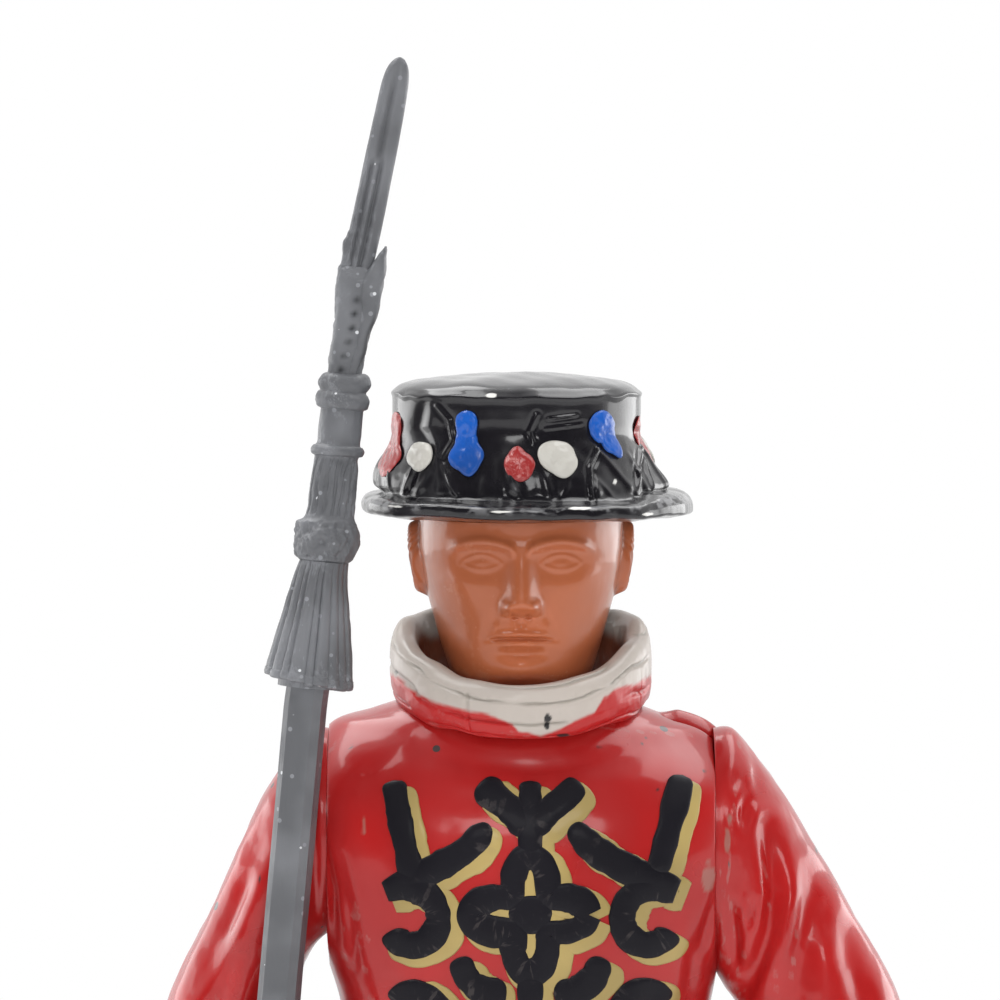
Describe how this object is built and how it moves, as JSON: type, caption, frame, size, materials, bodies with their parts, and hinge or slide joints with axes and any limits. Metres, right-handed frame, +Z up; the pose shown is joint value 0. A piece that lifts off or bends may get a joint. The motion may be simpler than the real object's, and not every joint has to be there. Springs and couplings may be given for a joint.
{
  "type": "toy soldier figure",
  "caption": "Painted cast toy guard in red tunic, ruff and ribboned hat on a base plate, with turning head, swinging arms and a polearm that slides out of the fist.",
  "frame": {"origin": "centre of the underside of the base plate", "axes": "+Z up, the figure faces -Y, its left hand is on the +X side"},
  "size_m": [0.027, 0.019, 0.0665],
  "materials": {
    "red_enamel": "gloss enamel over cast metal",
    "black_enamel": "gloss enamel, worn at the edges",
    "flesh_enamel": "satin enamel",
    "white_enamel": "satin enamel",
    "blue_enamel": "gloss enamel",
    "gold_enamel": "gold enamel",
    "green_enamel": "gloss enamel",
    "steel_pin": "bare metal",
    "grey_plastic": "moulded, speckled"
  },
  "bodies": {
    "figure": {"base_plate": "green_enamel", "foot_rivets": "steel_pin", "left_shoe": "black_enamel", "right_shoe": "black_enamel", "shoe_rosettes": "white_enamel", "left_leg": "red_enamel", "right_leg": "red_enamel", "tunic": "red_enamel", "belt": "black_enamel", "buckle": "gold_enamel", "ruff": "white_enamel", "shoulder_pins": "steel_pin"},
    "head": {"head": "flesh_enamel", "hat": "black_enamel", "red_bows": "red_enamel", "white_bows": "white_enamel", "blue_bows": "blue_enamel"},
    "left_arm": {"left_arm": "red_enamel", "left_hand": "flesh_enamel"},
    "right_arm": {"right_arm": "red_enamel", "right_hand": "flesh_enamel"},
    "polearm": {"polearm": "grey_plastic"}
  },
  "joints": [
    {"name": "head_turn", "type": "hinge", "parent": "figure", "child": "head", "pos_m": [0, 0, 0.0485], "axis": [0, 0, 1], "range_deg": [-75, 75]},
    {"name": "left_arm_swing", "type": "hinge", "parent": "figure", "child": "left_arm", "pos_m": [0.0055, 0, 0.0444], "axis": [-1, 0, 0], "range_deg": [-60, 150]},
    {"name": "right_arm_swing", "type": "hinge", "parent": "figure", "child": "right_arm", "pos_m": [-0.0055, 0, 0.0444], "axis": [-1, 0, 0], "range_deg": [-45, 75]},
    {"name": "polearm_slide", "type": "slide", "parent": "right_arm", "child": "polearm", "axis": [0.0906, 0.0262, 0.9955], "range_m": [0, 0.034]}
  ]
}
